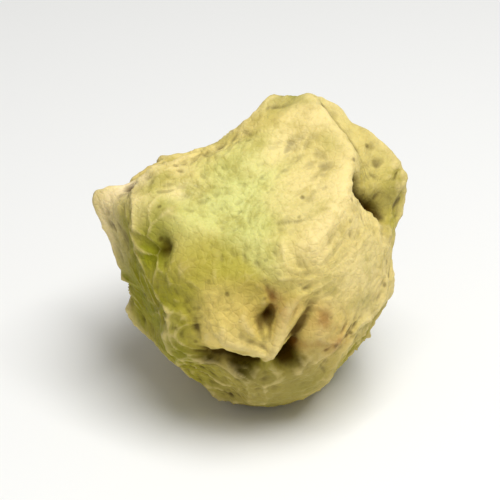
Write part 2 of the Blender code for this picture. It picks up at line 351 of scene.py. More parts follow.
DENTS = (
    # Upper facet.
    Dent((-20, 63), 43, 0.66 * MM, 0.05 * MM, 2.0),
    # Behind the upper left edge, which it keeps straight.
    Dent((-132, 60), 40, 0.64 * MM, 0.0, 2.0),
    # Front, above the tip.
    Dent((-14, 24), 17, 0.10 * MM, 0.0, 2.0),
    # Left, low.
    Dent((-66, -6), 24, 0.34 * MM, 0.0, 2.0),
    # Left, on either side of the flange.
    Dent((-47, 26), 9, 0.20 * MM, 0.0, 2.0),
    Dent((-67, 9), 13, 0.20 * MM, 0.0, 2.0),
    # Left, under the horn.
    Dent((-98, -2), 26, 0.42 * MM, 0.05 * MM, 3.0),
    # Right, under the lip.
    Dent((92, -4), 20, 0.32 * MM, 0.05 * MM, 3.0),
    # Below the tip, left and right.
    Dent((-24, -36), 18, 0.20 * MM, 0.06 * MM, 3.0),
    Dent((60, -34), 24, 0.20 * MM, 0.06 * MM, 3.0),
    # Right side, towards the back.
    Dent((126, 10), 23, 0.62 * MM, 0.15 * MM, 3.5),
    # Back, above the scar.
    Dent((160, 46), 22, 0.42 * MM, 0.12 * MM, 3.0),
    # Left side, towards the back.
    Dent((-144, 22), 25, 0.60 * MM, 0.14 * MM, 3.5),
    Dent((-112, -34), 22, 0.40 * MM, 0.10 * MM, 3.0),
    # Back, low.
    Dent((142, -36), 26, 0.46 * MM, 0.11 * MM, 3.0),
    Dent((-158, -32), 20, 0.44 * MM, 0.12 * MM, 3.0),
    # Low on both sides.
    Dent((-66, -50), 24, 0.20 * MM, 0.06 * MM, 3.0),
    Dent((100, -56), 24, 0.22 * MM, 0.06 * MM, 3.0),
    # Small ones.
    Dent((-112, 22), 11, 0.30 * MM, 0.10 * MM, 3.0),
    Dent((152, 6), 10, 0.26 * MM, 0.08 * MM, 3.0),
    Dent((84, -30), 9, 0.22 * MM, 0.06 * MM, 3.0),
)

FOLDS = (
    # Crest from the top peak along the upper left edge, down to the notch.
    Fold(((152, 62), (-178, 72), (-112, 58), (-82, 44), (-78, 37)),
         (0.52 * MM, 0.22 * MM, 0.08 * MM, 0.16 * MM, 0.0), 5.0),
    # Flange on the left, which starts as a blunt horn and thins out downwards.
    Fold(((-87, 25), (-89, 18), (-85, 13), (-79, 7), (-78, -4)),
         (0.04 * MM, 0.56 * MM, 0.46 * MM, 0.34 * MM, 0.18 * MM), 4.2),
    # Crest from the top peak to the right corner.
    Fold(((152, 62), (118, 52), (101, 36)), (0.52 * MM, 0.38 * MM, 0.72 * MM), 7.0),
    # Lip down the right side.
    Fold(((101, 36), (95, 26), (86, 12), (74, 0)), (0.72 * MM, 0.50 * MM, 0.08 * MM, 0.0), 5.0),
    # Pale ridge along the right of the upper facet.
    Fold(((140, 62), (84, 60), (52, 48), (34, 32)), (0.40 * MM, 0.32 * MM, 0.28 * MM, 0.10 * MM), 8.0),
    # Shoulder under the upper facet.
    Fold(((-66, 34), (-42, 38), (-12, 40), (12, 38), (34, 33)),
         (0.20 * MM, 0.12 * MM, 0.09 * MM, 0.08 * MM, 0.08 * MM), 7.0),
    # Folds round the tip.
    Fold(((21, 16), (14, 8), (8, -2), (6, -8), (5, -13)),
         (0.05 * MM, 0.18 * MM, 0.25 * MM, 0.18 * MM, 0.0), 3.2),
    Fold(((-3, -1), (6, -5)), (0.06 * MM, 0.20 * MM), 2.8),
    Fold(((29, 5), (32, -4), (30, -13)), (0.05 * MM, 0.10 * MM, 0.03 * MM), 4.2),
    # Small upright fold on the left.
    Fold(((-44, 10), (-40, 0), (-43, -10)), (0.04 * MM, 0.14 * MM, 0.04 * MM), 5.0),
    # Crease between the pale ridge and the lip.
    Fold(((69, 52), (67, 44), (71, 37), (76, 29), (78, 21)),
         (-0.10 * MM, -0.60 * MM, -0.66 * MM, -0.30 * MM, -0.03 * MM), 4.0),
    # Creases round the tip.
    Fold(((-28, -11), (-16, -13), (-7, -12), (0, -13)),
         (-0.06 * MM, -0.28 * MM, -0.54 * MM, -0.24 * MM), 4.2),
    Fold(((25, 13), (23, 5), (17, -4), (12, -12), (13, -20)),
         (-0.04 * MM, -0.16 * MM, -0.26 * MM, -0.56 * MM, -0.08 * MM), 3.6),
    Fold(((8, 20), (7, 13), (6, 7)), (-0.03 * MM, -0.08 * MM, -0.36 * MM), 3.4),
    # Creases on the left.
    Fold(((-51, 30), (-46, 26), (-43, 21)), (-0.03 * MM, -0.15 * MM, -0.03 * MM), 3.8),
    Fold(((-34, 12), (-27, 4), (-24, -6)), (-0.02 * MM, -0.08 * MM, -0.03 * MM), 4.0),
)

MOUNDS = (
    # Thick root of the horn on the left.
    Mound((-87, 16), 8, 0.32 * MM),
    # Round belly under the tip.
    Mound((14, -50), 34, 0.26 * MM),
    Mound((38, 24), 20, 0.12 * MM),
    Mound((-8, 0), 9, 0.22 * MM),
    Mound((25, -9), 8, 0.14 * MM),
    # Fillings between folds, behind the top peak and beside the lip.
    Mound((144, 72), 8, 0.18 * MM),
    Mound((91, 31), 5, 0.22 * MM),
    # Filling between the horn and the left edge.
    Mound((-73, 21), 6, 0.16 * MM),
    # Pits.
    Mound((6, 18), 9, -0.07 * MM),
    Mound((106, -22), 3.2, -0.34 * MM),
    Mound((-120, 44), 3.6, -0.34 * MM),
    Mound((-84, -34), 3.2, -0.28 * MM),
)

# The finest swells; their heights are shares of the fine wrinkles' height.
FINE_SWELLS = (
    Swell(0.11, 0.30, 24, 44),
    Swell(0.05, 0.16, 28, 45),
)

# Pushes that give the patches of colour uneven edges.
PATCH_PUSHES = (
    Push(0.9, 0.07, 61),
    Push(0.3, 0.03, 64),
)

# Patches of colour with loose edges, each with its spots.
PATCHES = {
    "pale": (Spot((-14, 60), 34, 3.0), Spot((-58, 47), 16, 2.5)),
    "green": (
        Spot((-61, -6), 29, 2.5), Spot((-45, 26), 10, 2.0), Spot((-80, -4), 12, 2.0),
        Spot((-140, 10), 30, 3.0), Spot((110, -30), 34, 3.0), Spot((165, 50), 20, 3.0),
    ),
    # Partly painted shade: olive that darkens the front below the facet, the low front and the lip.
    "olive": (Spot((-16, 14), 22, 2.5), Spot((-20, -30), 24, 2.0), Spot((98, 35), 20, 2.0)),
    "horn": (Spot((-86, 21), 11, 3.0), Spot((-82, 10), 6, 2.0)),
    "cream": (
        Spot((54, 40), 24, 3.0), Spot((84, 70), 21, 3.0), Spot((122, 52), 32, 3.0),
        Spot((48, 5), 31, 2.5), Spot((-64, 44), 12, 2.0), Spot((-96, 50), 15, 2.0),
        Spot((-140, 66), 14, 2.0),
    ),
    # Partly painted light: yellow skin round the tip, coloured lighter to stand in for the light on
    # its bumps.
    "yellow": (Spot((-8, 1), 14, 2.5), Spot((18, 9), 14, 2.0), Spot((30, -10), 12, 2.0)),
    "belly": (Spot((4, -42), 26, 3.0), Spot((-150, -50), 24, 3.0), Spot((86, 36), 9, 2.0)),
    "stain": (
        Spot((25, 2), 6.5, 2.0), Spot((25, -10), 9, 2.0), Spot((8, 15), 9, 2.0),
        Spot((84, -30), 9, 2.0), Spot((-112, 22), 10, 2.0),
    ),
}

# Patches whose edges follow the pits, creases and scar that they colour.
TIGHT_PATCHES = {
    # Painted shade round the pits and creases.
    "pit_and_crease_shade": (
        Spot((-47, 24), 3, 1.5), Spot((76, 33), 5, 2.0), Spot((-7, -17), 7.5, 3.0),
        Spot((-20, -16), 6, 2.0), Spot((14, -15), 5, 2.0),
    ),
    "scar": (Spot(SCAR_PLACE, 10.0, 6.0),),
}

# Marks in the skin: blotches as wide as its folds, mottles as wide as its wrinkles, and grain
# as fine as its pores.
MARKS = {
    "blotches": Mark(1.3, 4.0, 0.5),
    "mottles": Mark(0.42, 4.0, 0.6),
    "grain": Mark(0.11, 3.0, 0.6),
}

# How rough the skin is, by its mottles.
DULLNESS = (Mask("mottles", 0.3, 0.7, 0.50, 0.68),)

# How much its wax shines: less down in the creases, and less on the painted pit and crease shade and
# on the green skin.
SHEEN = (
    Mask(CREASE, 0.0, 0.4, 0.26, 0.05),
    Mask("patch_pit_and_crease_shade", 0.1, 0.8, 1.0, 0.4),
    Mask("patch_green", 0.2, 0.8, 1.0, 0.4),
)

# Height of the skin's cells, which sink towards their walls.
CELL_WALLS = (Mask("cell_wall", 0.0, 0.18),)


def patch_layer(colour, strength):
    """A patch's own colour at some strength, which thins out where the mottles are weak."""
    masks = (Mask("patch_" + colour, at_high=strength), Mask("mottles", 0.30, 0.55, 0.55, 1.0))
    return Layer(colour, masks)


# Colours laid over the straw in this order, each where all of its masks let it show.
LAYERS = (
    # Blotches all over.
    Layer("olive", (Mask("blotches", 0.38, 0.62),)),
    # The facet on top, and the worn rims beside it.
    patch_layer("pale", 0.8),
    patch_layer("cream", 0.8),
    # Broad crests, and painted shade on the floors of dents, which stays faint where the skin is
    # cream.
    Layer("cream", (Mask(WIDE, 0.5, 2.2, 0.0, 0.55),)),
    Layer("dent_floor_shade", (Mask(WIDE, -1.2, -4.0, 0.0, 0.6), Mask("patch_cream", 0.2, 0.8, 1.0, 0.2))),
    # The front, the sides and the underside.
    # Olive, partly painted shade on the front and the lip.
    patch_layer("olive", 0.8),
    patch_layer("green", 0.9),
    # Yellow round the tip, partly painted light on its bumps.
    patch_layer("yellow", 0.8),
    patch_layer("belly", 0.75),
    patch_layer("horn", 0.85),
    # Painted shade round the pits and creases.
    patch_layer("pit_and_crease_shade", 0.95),
    # Fine crests, outside the creases.
    Layer("cream", (Mask(NEAR, 0.5, 2.6, 0.0, 0.5), Mask(CREASE, 0.05, 0.40, 1.0, 0.0))),
    # Painted shade in the fine hollows, which is uneven, and fainter where the skin is green.
    Layer("brown", (
        Mask(NEAR, -0.5, -2.6, 0.0, 0.9),
        Mask("mottles", 0.3, 0.6, 0.6, 1.0),
        Mask("patch_green", 0.3, 0.9, 1.0, 0.35),
    )),
    # Painted shade down in the creases.
    Layer("brown", (Mask(CREASE, 0.22, 0.80, 0.0, 0.95),)),
    # Stains, and the torn tissue of the scar.
    Layer("stain", (Mask("patch_stain"), Mask("mottles", 0.35, 0.6, 0.2, 0.7))),
    Layer("scar", (Mask("patch_scar"), Mask("grain", 0.3, 0.6, 0.7, 1.0))),
    # Specks, which only some of their cells have.
    Layer("brown", (Mask("speck", 0.20, 0.08, 0.0, 0.55), Mask("speck_chance", 0.62, 0.70))),
    # Shade in the mottles and the grain.
    Layer("mottle_shade", (Mask("mottles", 0.52, 0.34, 0.0, 0.35),), "MULTIPLY"),
    Layer("grain_shade", (Mask("grain", 0.50, 0.30, 0.0, 0.40),), "MULTIPLY"),
)


def unit(vectors):
    """Vectors scaled to a length of one."""
    return vectors / np.linalg.norm(vectors, axis=-1, keepdims=True)


def direction(place):
    """Unit direction of a longitude and latitude."""
    longitude, latitude = np.radians(place)
    return np.array((
        np.sin(longitude) * np.cos(latitude),
        -np.cos(longitude) * np.cos(latitude),
        np.sin(latitude),
    ))


def degrees_from(points, centre):
    """Angle between each direction and one centre."""
    return np.degrees(np.arccos(np.clip(points @ centre, -1.0, 1.0)))


def waves(points, pitch, count, seed):
    """Smooth uneven swell of about +-1: a sum of plane waves of nearly one pitch."""
    random = np.random.default_rng(seed)
    ways = unit(random.normal(size=(count, 3))) * (2.0 * np.pi / pitch)
    ways = ways * random.uniform(1.0 - PITCH_SPREAD, 1.0 + PITCH_SPREAD, (count, 1))
    phases = random.uniform(0.0, 2.0 * np.pi, count)
    return np.cos(points @ ways.T + phases).sum(axis=1) * np.sqrt(2.0 / count)


def warp(points, push):
    """Directions pushed about by three swells, so that no mark stays a plain circle or line."""
    seeds = range(push.seed, push.seed + 3)
    shift = np.stack([waves(points, push.pitch, PUSH_WAVES, seed) for seed in seeds], axis=1)
    return unit(points + push.amount * shift)


def pushed(directions):
    """Directions after every push; all the marks are placed by them."""
    points = directions
    for push in PUSHES:
        points = warp(points, push)
    return points


def along_stretch(points, start, end):
    """Degrees from the great-circle stretch between two directions, and the share along it."""
    normal = unit(np.cross(start, end))
    off_plane = points @ normal
    in_plane = points - np.outer(off_plane, normal)
    span = np.arctan2(np.linalg.norm(np.cross(start, end)), start @ end)
    turned = np.arctan2(np.cross(start, in_plane) @ normal, in_plane @ start)
    share = turned / span
    to_start = degrees_from(points, start)
    to_end = degrees_from(points, end)
    beside = (share >= 0.0) & (share <= 1.0)
    distance = np.where(beside, np.degrees(np.arcsin(np.abs(off_plane))), np.minimum(to_start, to_end))
    return distance, np.where(beside, share, (to_end < to_start).astype(float))


def dented(points):
    """Depth of the deepest dent at each direction, blended where dents meet, less its rim.

    A dent is deepest at its place and falls to nothing at its reach. Where two meet, the
    deeper one wins, which leaves a crisp ridge between them.
    """
    depths = [np.zeros(len(points))]
    rims = np.zeros(len(points))
    for dent in DENTS:
        share = degrees_from(points, direction(dent.place)) / dent.reach
        depths.append(dent.depth * (1.0 - share ** dent.power))
        rims = np.maximum(rims, dent.rim * np.exp(-((share - 1.0) / RIM_WIDTH) ** 2))
    depths = np.stack(depths) * DENT_CRISPNESS
    deepest = depths.max(axis=0)
    blended = (deepest + np.log(np.exp(depths - deepest).sum(axis=0))) / DENT_CRISPNESS
    return blended - rims


def folded(points):
    """Heights of the highest ridge and of the deepest crease at each direction."""
    ridges = np.zeros(len(points))
    creases = np.zeros(len(points))
    for fold in FOLDS:
        ends = [direction(place) for place in fold.places]
        for index, start in enumerate(ends[:-1]):
            distance, share = along_stretch(points, start, ends[index + 1])
            first, last = fold.heights[index:index + 2]
            height = first + (last - first) * share
            height = height / (1.0 + (distance / fold.half_width) ** 2) ** FOLD_STEEPNESS
            ridges = np.maximum(ridges, height)
            creases = np.minimum(creases, height)
    return ridges, creases


def mounded(points):
    """Height of the swellings and pits, each a smooth round bell."""
    height = np.zeros(len(points))
    for mound in MOUNDS:
        share = degrees_from(points, direction(mound.place)) / mound.reach
        height += mound.height * np.exp(-share ** 2)
    return height


def net_of_wrinkles(points, net):
    """Raised net: a crest along the borders between cells spread evenly over the berry.

    The cells' centres follow a spiral from pole to pole, each pushed off it by chance. A
    point's distance from a border is half of how much nearer its nearest centre is than
    the second. The crest falls off with that distance, and is taken less the net's sink.
    """
    random = np.random.default_rng(net.seed)
    number = np.arange(net.cells) + 0.5
    level = 1.0 - 2.0 * number / net.cells
    turn = np.pi * (1.0 + 5.0 ** 0.5) * number
    radius = np.sqrt(1.0 - level ** 2)
    centres = np.stack([radius * np.cos(turn), radius * np.sin(turn), level], axis=1)
    centres = unit(centres + random.normal(size=centres.shape) * NET_STRAYING / np.sqrt(net.cells))
    bent = warp(points, NET_BEND)
    nearest = np.empty((len(points), 2))
    for start in range(0, len(points), POINTS_AT_ONCE):
        block = slice(start, start + POINTS_AT_ONCE)
        closeness = bent[block] @ centres.T
        nearest[block] = np.partition(closeness, (net.cells - 2, net.cells - 1), axis=1)[:, -2:]
    nearest = np.degrees(np.arccos(np.clip(nearest, -1.0, 1.0)))
    border = (nearest[:, 0] - nearest[:, 1]) / 2.0
    return net.height * (np.exp(-border / net.width) - net.sink)


def frilled(points, frill):
    """Height of one frill: waves round its place, part rounded and part sharp crests.

    They bend with an uneven swell and with the distance from the place, start at the inner
    distance and fade out by the outer one.
    """
    centre = direction(frill.place)
    side = unit(np.cross((0.0, 0.0, 1.0), centre))
    turn = np.arctan2(points @ np.cross(centre, side), points @ side)
    distance = degrees_from(points, centre)
    bend = FRILL_BEND * waves(points, FRILL_PITCH, FRILL_WAVES, frill.seed) + FRILL_TWIST * distance
    phase = frill.count * turn + bend
    evenness = 1.0 - FRILL_UNEVENNESS + FRILL_UNEVENNESS * np.cos(2.0 * turn + frill.seed)
    rounded = np.cos(phase) * evenness
    sharp = 1.0 - 2.0 * np.abs(np.sin(0.5 * phase))
    beyond = np.maximum(distance - frill.inner, 0.0) / (frill.outer - frill.inner)
    within = 1.0 / (1.0 + np.exp((frill.inner - distance) / FRILL_START))
    swell = (1.0 - FRILL_SHARPNESS) * rounded + FRILL_SHARPNESS * sharp
    return frill.height * swell * np.exp(-beyond ** 2) * within


def stalk_scar(points):
    """Sunken round disc with a raised rim, and fine torn rings in its floor."""
    distance = degrees_from(points, direction(SCAR_PLACE))
    disc = -SCAR_DEPTH / (1.0 + (distance / SCAR_REACH) ** SCAR_STEEPNESS)
    rim = SCAR_RIM_HEIGHT * np.exp(-((distance - SCAR_RIM_REACH) / SCAR_RIM_WIDTH) ** 2)
    floor = np.exp(-(distance / SCAR_REACH) ** SCAR_STEEPNESS)
    torn = waves(points, TORN_PITCH, TORN_WAVES, TORN_SEED)
    rings = np.cos(2.0 * np.pi * distance / TORN_RING_WIDTH) + torn
    return disc + rim + TORN_RING_HEIGHT * floor * rings


def plumpness(points):
    """How plump the skin is at each direction, from 0 to 1."""
    share = np.zeros(len(points))
    for stretch in PLUMPS:
        distance = degrees_from(points, direction(stretch.place))
        share = np.maximum(share, np.exp(-(distance / stretch.reach) ** PLUMP_EDGE))
    return share


def strength_at(points, strength):
    """A middle value plus its spread times an uneven swell, held between 0 and its most."""
    swell = waves(points, strength.pitch, strength.count, strength.seed)
    return np.clip(strength.middle + strength.spread * swell, 0.0, strength.most)


def skin_radius(directions, fine_height):
    """Distance of the skin from the berry's middle, in each direction.

    The body's ellipsoid, less its dents, plus its folds, mounds, scar, nets, frills and swells.
    The coarse net and the swells are weaker where the skin is plump, and gone where it is
    worn flat. The soft net comes and goes, and the finest wrinkles follow the coarse net.
    """
    radius = 1.0 / np.sqrt(((directions / BODY_RADII) ** 2).sum(axis=1))
    points = pushed(directions)
    ridges, creases = folded(points)
    plump = plumpness(points)
    unworn = 1.0 - np.exp(-(degrees_from(points, direction(UNDERSIDE)) / WORN_REACH) ** WORN_EDGE)
    rough = strength_at(points, NET_STRENGTH) * (1.0 - PLUMP_NET_LOSS * plump) * unworn
    radius += ridges + creases + mounded(points) + stalk_scar(points) - dented(points)
    radius += rough * net_of_wrinkles(points, NET)
    radius += strength_at(points, SOFT_NET_STRENGTH) * net_of_wrinkles(points, SOFT_NET)
    for frill in FRILLS:
        radius += frilled(points, frill)
    for swell in SWELLS:
        strength = swell.height * (1.0 - PLUMP_SWELL_LOSS * plump) * unworn
        radius += strength * waves(points, swell.pitch, swell.count, swell.seed)
    fine = fine_height * (FINE_LEAST + (1.0 - FINE_LEAST) * np.clip(rough, 0.0, 1.0))
    radius += fine * net_of_wrinkles(points, FINE_NET)
    for swell in FINE_SWELLS:
        radius += swell.height * fine * waves(points, swell.pitch, swell.count, swell.seed)
    return radius


def cube_sphere(steps):
    """Directions and four-sided faces of a sphere made from a cube.

    Each side of the cube is a grid of two angles, both from -45 to 45 degrees, and a grid
    point's direction is the tangents of its two angles beside a one. Points where sides
    meet are one point, so the sphere is closed.
    """
    count = steps + 1
    first, second = np.meshgrid(np.arange(count), np.arange(count), indexing="ij")
    lattice = []
    corners = []
    number = np.arange(6 * count * count).reshape(6, count, count)
    for side in range(6):
        axis, far = side % 3, side // 3
        place = np.empty((count, count, 3), dtype=np.int64)
        place[..., axis] = far * steps
        place[..., (axis + 1) % 3] = first
        place[..., (axis + 2) % 3] = second
        lattice.append(place.reshape(-1, 3))
        grid = number[side] if far else number[side].T
        corners.append(np.stack([grid[:-1, :-1], grid[1:, :-1], grid[1:, 1:], grid[:-1, 1:]], axis=-1))
    lattice = np.concatenate(lattice)
    codes = (lattice[:, 0] * count + lattice[:, 1]) * count + lattice[:, 2]
    _, kept, renamed = np.unique(codes, return_index=True, return_inverse=True)
    faces = renamed.reshape(-1)[np.concatenate([block.reshape(-1, 4) for block in corners])]
    angles = (lattice[kept] / steps - 0.5) * (np.pi / 2.0)
    return unit(np.tan(angles)), faces


def averaged(values, faces, rounds):
    """Values smoothed so many times: each becomes the mean of its own and its neighbours'."""
    ends = np.concatenate([faces[:, [0, 1]], faces[:, [1, 2]], faces[:, [2, 3]], faces[:, [3, 0]]])
    neighbours, own = np.ascontiguousarray(ends.T)
    count = np.bincount(own, minlength=len(values)) + 1.0
    for _ in range(rounds):
        total = np.bincount(own, weights=values[neighbours], minlength=len(values))
        values = (values + total) / count
    return values


def mesh_from(name, points, faces):
    """Mesh of four-sided faces, shaded smooth."""
    mesh = bpy.data.meshes.new(name)
    mesh.vertices.add(len(points))
    mesh.vertices.foreach_set("co", points.ravel())
    mesh.loops.add(faces.size)
    mesh.loops.foreach_set("vertex_index", faces.ravel())
    mesh.polygons.add(len(faces))
    mesh.polygons.foreach_set("loop_start", np.arange(0, faces.size, 4))
    mesh.update(calc_edges=True)
    mesh.validate()
    mesh.shade_smooth()
    return mesh


def store(mesh, name, values):
    """Keeps one number for each point of the mesh, for its material to read."""
    attribute = mesh.attributes.new(name, "FLOAT", "POINT")
    attribute.data.foreach_set("value", values.astype(np.float32))


def patch(points, spots):
    """How far each direction belongs to a patch of colour, from 0 to 1.

    A spot gives 1 at its place, and falls off with the power of the share of its reach. Where
    spots meet, the stronger one counts.
    """
    share = np.zeros(len(points))
    for spot in spots:
        distance = degrees_from(points, direction(spot.place))
        share = np.maximum(share, np.exp(-(distance / spot.reach) ** spot.power))
    return share


def set_on_floor(points, flat_spot_depth):
    """Levels the lowest skin into the flat spot, and puts that at z = 0 under the berry's middle."""
    floor = points[:, 2].min() + flat_spot_depth
    points[:, 2] = np.maximum(points[:, 2], floor)
    low = points.min(axis=0)
    high = points.max(axis=0)
    points[:, 0] += MIDDLE.x - (low[0] + high[0]) / 2.0
    points[:, 1] += MIDDLE.y - (low[1] + high[1]) / 2.0
    points[:, 2] += LOW_CORNER.z - floor
    return points


def skin_mesh(sizes):
    """The whole skin, with its relief and patches kept as attributes.

    A point is its direction times the skin radius there. The relief attributes are how far
    a point stands proud of the skin around it, near and wide, as a share of a set height.
    """
    directions, faces = cube_sphere(sizes.grid_steps)
    radius = skin_radius(directions, sizes.fine_height)
    near = averaged(radius, faces, NEAR_ROUNDS)
    wide = averaged(near, faces, WIDE_ROUNDS)
    points = set_on_floor(directions * radius[:, np.newaxis], sizes.flat_spot_depth)
    mesh = mesh_from("peppercorn_skin", points, faces)
    store(mesh, NEAR, (radius - near) / NEAR_RELIEF)
    store(mesh, WIDE, (near - wide) / WIDE_RELIEF)
    marks = pushed(directions)
    _, creases = folded(marks)
    store(mesh, CREASE, -creases / CREASE_RELIEF)
    loose = marks
    for push in PATCH_PUSHES:
        loose = warp(loose, push)
    for around, patches in ((marks, TIGHT_PATCHES), (loose, PATCHES)):
        for name, spots in patches.items():
            store(mesh, "patch_" + name, patch(around, spots))
    return mesh


def linear(colour):
    """Linear colour with alpha from an sRGB hex value such as "#A0B0C0"."""
    values = [int(colour[start:start + 2], 16) / 255.0 for start in (1, 3, 5)]
    return tuple(v / 12.92 if v <= 0.04045 else ((v + 0.055) / 1.055) ** 2.4 for v in values) + (1.0,)


def node(tree, kind, settings=None, inputs=None):
    """Adds a node of a kind, with its settings, and its inputs set or linked."""
    made = tree.nodes.new(kind)
    for name, value in (settings or {}).items():
        setattr(made, name, value)
    for name, value in (inputs or {}).items():
        if isinstance(value, bpy.types.NodeSocket):
            tree.links.new(value, made.inputs[name])
        else:
            made.inputs[name].default_value = value
    return made


def clear_tree(material):
    """Turns nodes on and leaves only the output."""
    material.use_nodes = True
    tree = material.node_tree
    for item in list(tree.nodes):
        if item.bl_idname != "ShaderNodeOutputMaterial":
            tree.nodes.remove(item)
    return tree, tree.nodes["Material Output"]


def skin_patterns(tree):
    """What the skin's colours and bumps follow, by name.

    These are the marks, the specks and the cells of the skin, on the berry's own millimetres,
    and the numbers that the mesh keeps for each point.
    """
    place = node(tree, "ShaderNodeTexCoord").outputs["Object"]
    scaled = {"Vector": place, "Scale": (1.0 / MM,) * 3}
    in_mm = node(tree, "ShaderNodeMapping", inputs=scaled).outputs["Vector"]
    patterns = {}
    for name, mark in MARKS.items():
        kind = {"Scale": 1.0 / mark.pitch, "Detail": mark.detail, "Roughness": mark.roughness}
        noise = node(tree, "ShaderNodeTexNoise", inputs={"Vector": in_mm, **kind})
        patterns[name] = noise.outputs["Fac"]
    specks = node(tree, "ShaderNodeTexVoronoi", inputs={"Vector": in_mm, "Scale": 1.0 / SPECK_PITCH})
    chance = node(tree, "ShaderNodeSeparateColor", inputs={"Color": specks.outputs["Color"]})
    patterns["speck"] = specks.outputs["Distance"]
    patterns["speck_chance"] = chance.outputs["Red"]
    to_wall = {"feature": "DISTANCE_TO_EDGE"}
    cells = node(tree, "ShaderNodeTexVoronoi", to_wall, {"Vector": in_mm, "Scale": 1.0 / CELL_PITCH})
    patterns["cell_wall"] = cells.outputs["Distance"]
    for name in (NEAR, WIDE, CREASE, *("patch_" + name for name in (*PATCHES, *TIGHT_PATCHES))):
        patterns[name] = node(tree, "ShaderNodeAttribute", {"attribute_name": name}).outputs["Fac"]
    return patterns


def shown(tree, patterns, masks):
    """All the masks multiplied, each its pattern taken from one range to another and held there."""
    share = 1.0
    for mask in masks:
        values = {"Value": patterns[mask.pattern], "From Min": mask.low, "From Max": mask.high}
        turned_to = {"To Min": mask.at_low, "To Max": mask.at_high}
        taken = node(tree, "ShaderNodeMapRange", inputs={**values, **turned_to})
        both = {0: share, 1: taken.outputs["Result"]}
        share = node(tree, "ShaderNodeMath", {"operation": "MULTIPLY"}, both).outputs["Value"]
    return share


def skin_colour(tree, patterns, colours):
    """Straw, with every layer laid over it in turn."""
    colour = tuple(colours.straw) + (1.0,)
    for layer in LAYERS:
        over = tuple(getattr(colours, layer.colour)) + (1.0,)
        parts = {MIX_FACTOR: shown(tree, patterns, layer.masks), MIX_UNDER: colour, MIX_OVER: over}
        mixed = node(tree, "ShaderNodeMix", {"data_type": "RGBA", "blend_type": layer.blend}, parts)
        colour = mixed.outputs[MIX_RESULT]
    richer = {"Saturation": SATURATION, "Color": colour}
    return node(tree, "ShaderNodeHueSaturation", inputs=richer).outputs["Color"]


def skin_bump(tree, patterns):
    """The skin's cells, and the pores on them."""
    walls = shown(tree, patterns, CELL_WALLS)
    cells = {"Strength": CELL_BUMP, "Distance": CELL_HEIGHT, "Height": walls}
    celled = node(tree, "ShaderNodeBump", inputs=cells)
    pores = {"Strength": PORE_BUMP, "Distance": PORE_HEIGHT, "Height": patterns["grain"]}
    pored = node(tree, "ShaderNodeBump", inputs={**pores, "Normal": celled.outputs["Normal"]})
    return pored.outputs["Normal"]


def skin_material(colours):
    """Dried pepper skin: a thin waxy hide that shrank over the seed as it dried in the air.

    To the eye it is dull and soft, pale green where it stayed plump, straw and cream on the
    worn crests, olive to brown down in the dents and creases, which is painted shade, with fine
    wrinkles, pores and specks.
    """
    material = bpy.data.materials.new("air_dried_pepper_skin")
    tree, output = clear_tree(material)
    patterns = skin_patterns(tree)
    finish = {
        "Base Color": skin_colour(tree, patterns, colours),
        "Roughness": shown(tree, patterns, DULLNESS),
        "IOR": SKIN_IOR,
        "Specular IOR Level": shown(tree, patterns, SHEEN),
        "Subsurface Weight": SOAK_SHARE,
        "Subsurface Radius": SOAK_COLOURS,
        "Subsurface Scale": SOAK_DEPTH,
        "Normal": skin_bump(tree, patterns),
    }
    shader = node(tree, "ShaderNodeBsdfPrincipled", inputs=finish)
    tree.links.new(shader.outputs["BSDF"], output.inputs["Surface"])
    return material


def floor_material(colours):
    """Matt white card: it gives the eye nothing but the berry's soft shadow."""
    material = bpy.data.materials.new("matt_white_card")
    tree, output = clear_tree(material)
    finish = {"Base Color": tuple(colours.floor) + (1.0,), "Roughness": FLOOR_ROUGHNESS}
    shader = node(tree, "ShaderNodeBsdfPrincipled", inputs=finish)
    tree.links.new(shader.outputs["BSDF"], output.inputs["Surface"])
    return material


def floor_mesh(radius):
    """Flat disc: rings of points whose distance from the middle is their share of the radius."""
    turn = np.linspace(0.0, 2.0 * np.pi, FLOOR_SIDES, endpoint=False)
    rings = radius * np.array(FLOOR_RINGS)
    level = np.zeros((len(rings), FLOOR_SIDES))
    points = np.stack([np.outer(rings, np.cos(turn)), np.outer(rings, np.sin(turn)), level], axis=-1)
    number = np.arange(level.size).reshape(level.shape)
    outer = np.roll(number, -1, axis=1)
    faces = np.stack([number[:-1], number[1:], outer[1:], outer[:-1]], axis=-1).reshape(-1, 4)
    mesh = bpy.data.meshes.new("floor")
    mesh.from_pydata(points.reshape(-1, 3).tolist(), [], faces.tolist() + [number[0].tolist()])
    mesh.update()
    return mesh


def colour_property(name, description, default):
    """A colour in the panel, given as sRGB hex."""
    return bpy.props.FloatVectorProperty(
        name=name, description=description, default=linear(default)[:3],
        subtype="COLOR", size=3, min=0.0, max=1.0
    )


class PeppercornSizes(bpy.types.PropertyGroup):
    """Sizes of the skin that a user would change."""
    grid_steps: bpy.props.IntProperty(
        name="Grid steps", description="Steps along each side of the sphere's cube",
        default=128, min=16, max=129
    )
    fine_height: bpy.props.FloatProperty(
        name="Fine wrinkles", description="Height of the finest wrinkles",
        default=0.026 * MM, unit="LENGTH", precision=6
    )
    flat_spot_depth: bpy.props.FloatProperty(
        name="Flat spot", description="How far above the lowest skin the flat spot lies",
        default=0.13 * MM, unit="LENGTH", precision=6
    )


